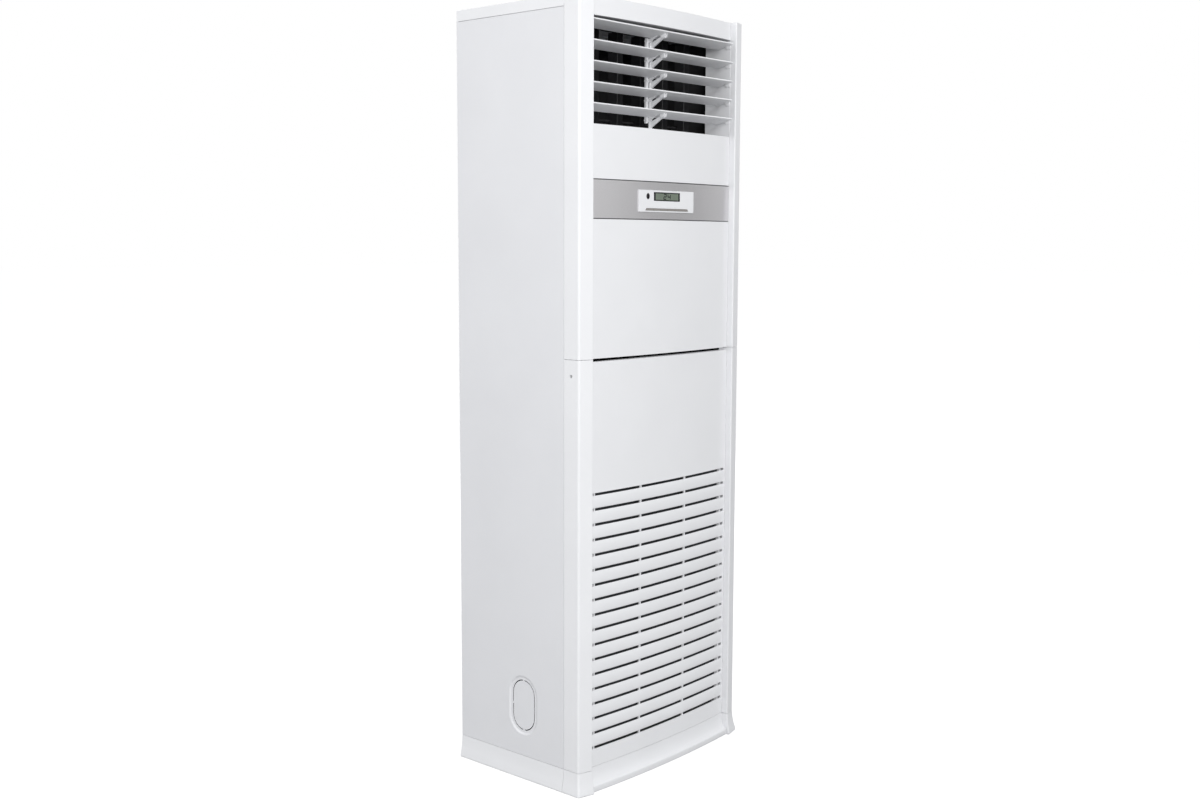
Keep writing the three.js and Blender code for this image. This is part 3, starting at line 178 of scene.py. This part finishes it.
def dress(name, material, edge=ROUND_EDGE, smooth=True):
    """Gives a CAD node its finish and, where asked, smooth curves and softened edges."""
    piece = nodes[name]
    piece.data.materials.clear()
    piece.data.materials.append(material)
    if not smooth:
        return
    for polygon in piece.data.polygons:
        polygon.use_smooth = True
    weld = piece.modifiers.new("weld", "WELD")
    weld.merge_threshold = SAME_POINT
    flat = piece.modifiers.new("flats", "DECIMATE")
    flat.decimate_type = "DISSOLVE"
    flat.angle_limit = FLAT_ANGLE
    if edge:
        soft = piece.modifiers.new("edges", "BEVEL")
        soft.width = edge
        soft.segments = EDGE_STEPS
        soft.limit_method = "ANGLE"
        soft.angle_limit = EDGE_ANGLE
    split = piece.modifiers.new("creases", "EDGE_SPLIT")
    split.split_angle = SMOOTH_ANGLE
    split.use_edge_sharp = False
    level = piece.modifiers.new("normals", "WEIGHTED_NORMAL")
    level.mode = "FACE_AREA"
    level.weight = NORMAL_WEIGHT


for part in ("header_panel", "sill_panel", "middle_panel", "top_cover", "pillar_upper_left",
             "pillar_upper_right", "pillar_lower_left", "pillar_lower_right", "display_housing"):
    dress(part, MOULDED_WHITE)
dress("intake_panel", MOULDED_WHITE, SLAT_EDGE)
for part in ("plinth_front", "plinth_rear", "plinth_corner_left", "plinth_corner_right",
             "plinth_side_left", "plinth_side_right", "outlet_wall_left", "outlet_wall_right",
             "louvre_post", "louvre_link", "louvre_1", "louvre_2", "louvre_3", "louvre_4",
             "louvre_5"):
    dress(part, MOULDED_WHITE, 0)


# ---- Side panels -----------------------------------------------------------------------------
# Folded steel sheet, powder coated in a slightly darker white with a soft orange peel. The
# faces inside are coloured black with a foam-like grain, painted shade that keeps the outlet dark
# behind the vanes.

PEEL_SCALE, PEEL_STRENGTH = 260.0, 0.2
COATED_SHEET = plain_finish("coated_sheet", (0.74, 0.745, 0.765), (0.76, 0.765, 0.785), 0.42,
                            grain=PEEL_SCALE, strength=PEEL_STRENGTH)
FOAM_SCALE, FOAM_STRENGTH = 500.0, 0.4
# Black painted shade for the faces inside the cabinet.
INSIDE_SHADE_BLACK = plain_finish("inside_painted_shade", (0.014, 0.014, 0.015), (0.024, 0.024, 0.026), 0.85,
                          grain=FOAM_SCALE, strength=FOAM_STRENGTH)
SHADE_MARGIN = 0.0004


def shade_inside(name, axis, outside):
    """Black painted shade on a sheet's faces that look inwards and lie behind the outside plane."""
    piece = nodes[name]
    piece.data.materials.append(INSIDE_SHADE_BLACK)
    for polygon in piece.data.polygons:
        depth = abs(outside) - abs(polygon.center[axis])
        inward = polygon.normal[axis] * outside < 0
        if inward and depth > SHADE_MARGIN:
            polygon.material_index = 1


for part in ("side_panel_left", "side_panel_right"):
    dress(part, COATED_SHEET, 0, smooth=False)
    low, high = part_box(part)
    shade_inside(part, 0, low[0] if part.endswith("left") else high[0])


# ---- Zinc coated steel -----------------------------------------------------------------------
# Rear panel, base pan and shelf are bare zinc coated sheet, pressed and screwed together, with
# its patchy spangle. The pillar screws and the swing motor's can are plated too.

SPANGLE_SCALE = 70.0
ZINC_GLOSS_SCALE, ZINC_ROUGH, ZINC_SPREAD = 30.0, 0.3, 0.2
ZINC_WAVE_SCALE, ZINC_WAVE_STRENGTH = 400.0, 0.1


def zinc_finish():
    finish = Finish("zinc_sheet", Metallic=0.85)
    spangle = finish.place.node("ShaderNodeTexVoronoi", output=1, inputs={"Scale": SPANGLE_SCALE})
    shade = spangle.node("ShaderNodeSeparateColor")
    finish.feed("Base Color", finish.ramp(shade, (0.50, 0.51, 0.52), (0.60, 0.61, 0.62)))
    finish.gloss(ZINC_GLOSS_SCALE, ZINC_ROUGH, ZINC_SPREAD)
    finish.bump(finish.noise(ZINC_WAVE_SCALE), ZINC_WAVE_STRENGTH, GRAIN_HEIGHT)
    return finish.material


ZINC_SHEET = zinc_finish()
for part in ("rear_panel", "base_pan", "blower_shelf", "pillar_screw_left", "pillar_screw_right",
             "swing_motor"):
    dress(part, ZINC_SHEET, 0)
# The rear panel's inward faces get the same black painted shade.
shade_inside("rear_panel", 1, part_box("rear_panel")[1][1])


# ---- Control band ----------------------------------------------------------------------------
# A moulded band sprayed in silver, with fine flake in the paint, held between the front
# panels. Its top and bottom edges are painted dark grey, as painted shade in the gaps along them.

BAND_SHADE_EDGE = 0.0013
FLAKE_SCALE, FLAKE_DETAIL = 2600.0, 1.0
FLAKE_MIDDLE, FLAKE_CONTRAST = 0.35, 0.5
FLAKE_STRENGTH, FLAKE_HEIGHT = 0.06, 0.0001
PAINT_LEVEL = 0.8
PAINT_GLOSS_SCALE, PAINT_ROUGH, PAINT_SPREAD = 60.0, 0.35, 0.06


def silver_finish():
    finish = Finish("silver_paint", Metallic=0.8, Coat_Weight=0.1)
    flake = finish.noise(FLAKE_SCALE, FLAKE_DETAIL)
    low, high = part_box("control_band")
    from_middle = (finish.place.axis(2) - (low[2] + high[2]) / 2).math("ABSOLUTE")
    # Near the top and bottom the base colour falls to dark grey: painted shade along the band's
    # edges.
    face = from_middle.math("LESS_THAN", (high[2] - low[2]) / 2 - BAND_SHADE_EDGE)
    level = (flake - FLAKE_MIDDLE) * FLAKE_CONTRAST * face + face * PAINT_LEVEL
    finish.feed("Base Color", finish.ramp(level, (0.12, 0.12, 0.125), (0.80, 0.79, 0.805)))
    finish.gloss(PAINT_GLOSS_SCALE, PAINT_ROUGH, PAINT_SPREAD)
    finish.bump(flake, FLAKE_STRENGTH, FLAKE_HEIGHT)
    return finish.material


dress("control_band", silver_finish())


# ---- Display ---------------------------------------------------------------------------------
# A grey-green display under a clear window with a dark printed frame, an infrared receiver
# behind a dark oval window, and a row of six warm grey keys. The green board is behind them.
# Each digit's bars are placed by side and level, in halves of the digit, and lie or stand.

LCD_LOW, LCD_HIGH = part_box("lcd_window")
LCD_FRAME_X, LCD_FRAME_Z = 0.006, 0.0022
DIGIT_WIDTH, DIGIT_HEIGHT, DIGIT_STROKE = 0.0092, 0.0112, 0.0026
DIGIT_SLANT = 0.12
DIGIT_PITCH = 0.0150
INK_STRENGTH = 0.97
PANE_SCALE, PANE_SPREAD = 90.0, 0.2
BARS = {"top": (0, 1, True), "middle": (0, 0, True), "bottom": (0, -1, True),
        "upper_left": (-1, 0.5, False), "upper_right": (1, 0.5, False),
        "lower_left": (-1, -0.5, False), "lower_right": (1, -0.5, False)}
SHOWN = (("top", "upper_right", "middle", "lower_left", "bottom"),
         ("upper_left", "middle", "upper_right", "lower_right"))


def within(across, upward, centre_x, centre_z, half_x, half_z):
    """1 inside a rectangle on the window, 0 outside."""
    return ((across - centre_x).math("ABSOLUTE").math("LESS_THAN", half_x)
            * (upward - centre_z).math("ABSOLUTE").math("LESS_THAN", half_z))


def lit_digits(across, upward):
    """Two seven-segment digits about the window's middle."""
    ink = None
    slanted = across - upward * DIGIT_SLANT
    for place, names in enumerate(SHOWN):
        centre = (place - 0.5) * DIGIT_PITCH
        for name in names:
            side, level, lying = BARS[name]
            half_x = (DIGIT_WIDTH if lying else DIGIT_STROKE) / 2
            half_z = (DIGIT_STROKE if lying else DIGIT_HEIGHT / 2) / 2
            bar = within(slanted, upward, centre + side * DIGIT_WIDTH / 2, level * DIGIT_HEIGHT / 2,
                         half_x, half_z)
            ink = bar if ink is None else ink.math("MAXIMUM", bar)
    return ink


def display_finish():
    finish = Finish("display_window", Roughness=0.12, Coat_Weight=0.6)
    across = finish.place.axis(0) - (LCD_LOW[0] + LCD_HIGH[0]) / 2
    upward = finish.place.axis(2) - (LCD_LOW[2] + LCD_HIGH[2]) / 2
    pane = within(across, upward, 0.0, 0.0, (LCD_HIGH[0] - LCD_LOW[0]) / 2 - LCD_FRAME_X,
                  (LCD_HIGH[2] - LCD_LOW[2]) / 2 - LCD_FRAME_Z)
    clear = 1 - lit_digits(across, upward) * INK_STRENGTH
    level = pane * clear * (finish.noise(PANE_SCALE) * PANE_SPREAD + (1 - PANE_SPREAD))
    finish.feed("Base Color", finish.ramp(level, (0.03, 0.032, 0.034), (0.21, 0.25, 0.20)))
    return finish.material


dress("lcd_window", display_finish(), 0)
RECEIVER_DARK = plain_finish("receiver_dark", (0.02, 0.018, 0.02), (0.03, 0.026, 0.03), 0.12,
                             strength=0.02)
dress("receiver_window", RECEIVER_DARK, 0)
KEY_GREY = plain_finish("key_grey", (0.26, 0.245, 0.23), (0.29, 0.275, 0.26), 0.4)
for number in range(1, 7):
    dress(f"button_{number}", KEY_GREY, 0)
BOARD_GREEN = plain_finish("board_green", (0.02, 0.10, 0.045), (0.03, 0.13, 0.06), 0.35)
dress("display_board", BOARD_GREEN, 0)


# ---- Vanes and dark mouldings ----------------------------------------------------------------
# The vertical vanes turn on pins in their rails and share a link, all moulded in black. The
# blower's volute, wheel and motor, the drain pan and the electrical box are dark grey.

VANE_BLACK = plain_finish("vane_black", (0.018, 0.018, 0.02), (0.026, 0.026, 0.028), 0.5)
for part in ("vane_link", "vane_rail_top", "vane_rail_bottom",
             "vane_1", "vane_2", "vane_3", "vane_4", "vane_5", "vane_6"):
    dress(part, VANE_BLACK, 0)
INNER_GREY = plain_finish("inner_grey", (0.05, 0.052, 0.055), (0.07, 0.072, 0.076), 0.55)
for part in ("drain_pan", "electrical_box", "blower_wheel", "fan_motor", "blower_housing"):
    dress(part, INNER_GREY, 0)


# ---- Air filter ------------------------------------------------------------------------------
# A black frame with a fine woven mesh over it, which slides in guides on the back of the intake
# panel and shows as darkness through the slits.

WEAVE_SCALE = 160.0
WEAVE_STRENGTH, WEAVE_HEIGHT = 0.3, 0.0003
THREAD_GLOSS_SCALE, THREAD_ROUGH, THREAD_SPREAD = 80.0, 0.6, 0.2


def filter_finish():
    finish = Finish("filter_mesh")
    weave = finish.place.node("ShaderNodeTexWave", inputs={"Scale": WEAVE_SCALE})
    finish.feed("Base Color", finish.ramp(weave, (0.02, 0.021, 0.024), (0.07, 0.072, 0.08)))
    finish.gloss(THREAD_GLOSS_SCALE, THREAD_ROUGH, THREAD_SPREAD)
    finish.bump(weave, WEAVE_STRENGTH, WEAVE_HEIGHT)
    return finish.material


dress("air_filter", filter_finish(), 0)


# ---- Evaporator ------------------------------------------------------------------------------
# Close set aluminium fins between end plates, leaning forward above the drain pan. Their dark
# colour is painted shade inside the cabinet; the end plates and return bends share the same finish.

FIN_SCALE = 140.0
FIN_STRENGTH, FIN_HEIGHT = 0.4, 0.0004
FIN_GLOSS_SCALE, FIN_ROUGH, FIN_SPREAD = 50.0, 0.35, 0.15


def shaded_fin_finish():
    finish = Finish("fin_aluminium_painted_shade", Metallic=0.8)
    fins = finish.place.node("ShaderNodeTexWave", inputs={"Scale": FIN_SCALE},
                             bands_direction="X")
    # The fins' dark grey colour is painted shade.
    finish.feed("Base Color", finish.ramp(fins, (0.06, 0.062, 0.065), (0.20, 0.205, 0.21)))
    finish.gloss(FIN_GLOSS_SCALE, FIN_ROUGH, FIN_SPREAD)
    finish.bump(fins, FIN_STRENGTH, FIN_HEIGHT)
    return finish.material


dress("evaporator_coil", shaded_fin_finish(), 0)


# ---- Studio ----------------------------------------------------------------------------------
# A white floor that keeps the shadow, a white room round it, a strong soft lamp in front on the
# left and weaker ones at the left side and behind on the right. A dark card shows in gloss only.

WORLD_LIGHT = 0.62
ROOM_WHITE = (1.0, 1.0, 1.0, 1.0)
COOL_LIGHT = (0.97, 0.98, 1.0, 1.0)


def white_room():
    scene = bpy.context.scene
    scene.view_settings.view_transform = "Standard"
    world = bpy.data.worlds.new("white_room")
    world.use_nodes = True
    scene.world = world
    tree = world.node_tree
    tree.nodes.clear()
    rays = tree.nodes.new("ShaderNodeLightPath")
    seen = tree.nodes.new("ShaderNodeBackground")
    seen.inputs["Color"].default_value = ROOM_WHITE
    lit = tree.nodes.new("ShaderNodeBackground")
    lit.inputs["Color"].default_value = COOL_LIGHT
    lit.inputs["Strength"].default_value = WORLD_LIGHT
    mixed = tree.nodes.new("ShaderNodeMixShader")
    out = tree.nodes.new("ShaderNodeOutputWorld")
    sees_white = Socket(tree, rays.outputs["Is Camera Ray"])
    for kind in ("Is Glossy Ray", "Is Transmission Ray"):
        sees_white = sees_white.math("MAXIMUM", Socket(tree, rays.outputs[kind]))
    tree.links.new(sees_white.output, mixed.inputs[0])
    tree.links.new(lit.outputs[0], mixed.inputs[1])
    tree.links.new(seen.outputs[0], mixed.inputs[2])
    tree.links.new(mixed.outputs[0], out.inputs["Surface"])


FLOOR_HALF = 60.0
FLOOR_COLOUR = (0.4, 0.4, 0.4, 1.0)
FLOOR_GLOW = 0.76


def white_floor():
    mesh = bpy.data.meshes.new("studio_floor")
    shape = bmesh.new()
    bmesh.ops.create_grid(shape, x_segments=1, y_segments=1, size=FLOOR_HALF)
    shape.to_mesh(mesh)
    shape.free()
    floor = bpy.data.objects.new("studio_floor", mesh)
    bpy.context.scene.collection.objects.link(floor)
    material = bpy.data.materials.new("studio_floor")
    material.use_nodes = True
    tree = material.node_tree
    tree.nodes.clear()
    matt = tree.nodes.new("ShaderNodeBsdfDiffuse")
    matt.inputs["Color"].default_value = FLOOR_COLOUR
    glow = tree.nodes.new("ShaderNodeEmission")
    rays = tree.nodes.new("ShaderNodeLightPath")
    level = Socket(tree, rays.outputs["Is Camera Ray"]) * FLOOR_GLOW
    both = tree.nodes.new("ShaderNodeAddShader")
    out = tree.nodes.new("ShaderNodeOutputMaterial")
    tree.links.new(level.output, glow.inputs["Strength"])
    tree.links.new(matt.outputs[0], both.inputs[0])
    tree.links.new(glow.outputs[0], both.inputs[1])
    tree.links.new(both.outputs[0], out.inputs["Surface"])
    mesh.materials.append(material)


LAMP_SIZE = 2.0


def soft_lamp(name, place, target, power):
    data = bpy.data.lights.new(name, "AREA")
    data.shape = "SQUARE"
    data.size = LAMP_SIZE
    data.energy = power
    lamp = bpy.data.objects.new(name, data)
    lamp.location = place
    lamp.rotation_euler = (Vector(target) - Vector(place)).to_track_quat("-Z", "Y").to_euler()
    bpy.context.scene.collection.objects.link(lamp)


white_room()
white_floor()
soft_lamp("front_lamp", place=(-2.2, -3.6, 2.6), target=(0, 0, 1.0), power=120)
soft_lamp("side_lamp", place=(-3.6, 0.7, 2.4), target=(0, 0, 1.3), power=36)
soft_lamp("rear_lamp", place=(3.4, 3.0, 2.2), target=(0, 0, 1.0), power=75)

FLAG_WIDTH, FLAG_HEIGHT = 0.7, 2.0
FLAG_TURN = math.radians(49)
FLAG_PLACE = (1.8, -1.6, 1.3)
FLAG_BLACK = (0.01, 0.01, 0.01, 1.0)


def dark_flag():
    """A dark card on the right that only shows as the darker middle of the silver band."""
    mesh = bpy.data.meshes.new("dark_flag")
    shape = bmesh.new()
    bmesh.ops.create_grid(shape, x_segments=1, y_segments=1, size=0.5)
    bmesh.ops.scale(shape, vec=(FLAG_WIDTH, FLAG_HEIGHT, 1.0), verts=shape.verts)
    bmesh.ops.rotate(shape, matrix=Matrix.Rotation(math.radians(90), 3, "X"), verts=shape.verts)
    bmesh.ops.rotate(shape, matrix=Matrix.Rotation(FLAG_TURN, 3, "Z"), verts=shape.verts)
    bmesh.ops.translate(shape, vec=FLAG_PLACE, verts=shape.verts)
    shape.to_mesh(mesh)
    shape.free()
    flag = bpy.data.objects.new("dark_flag", mesh)
    material = bpy.data.materials.new("dark_flag")
    material.use_nodes = True
    shader = next(n for n in material.node_tree.nodes if n.type == "BSDF_PRINCIPLED")
    shader.inputs["Base Color"].default_value = FLAG_BLACK
    mesh.materials.append(material)
    bpy.context.scene.collection.objects.link(flag)
    flag.visible_camera = False
    flag.visible_shadow = False
    flag.visible_diffuse = False


dark_flag()
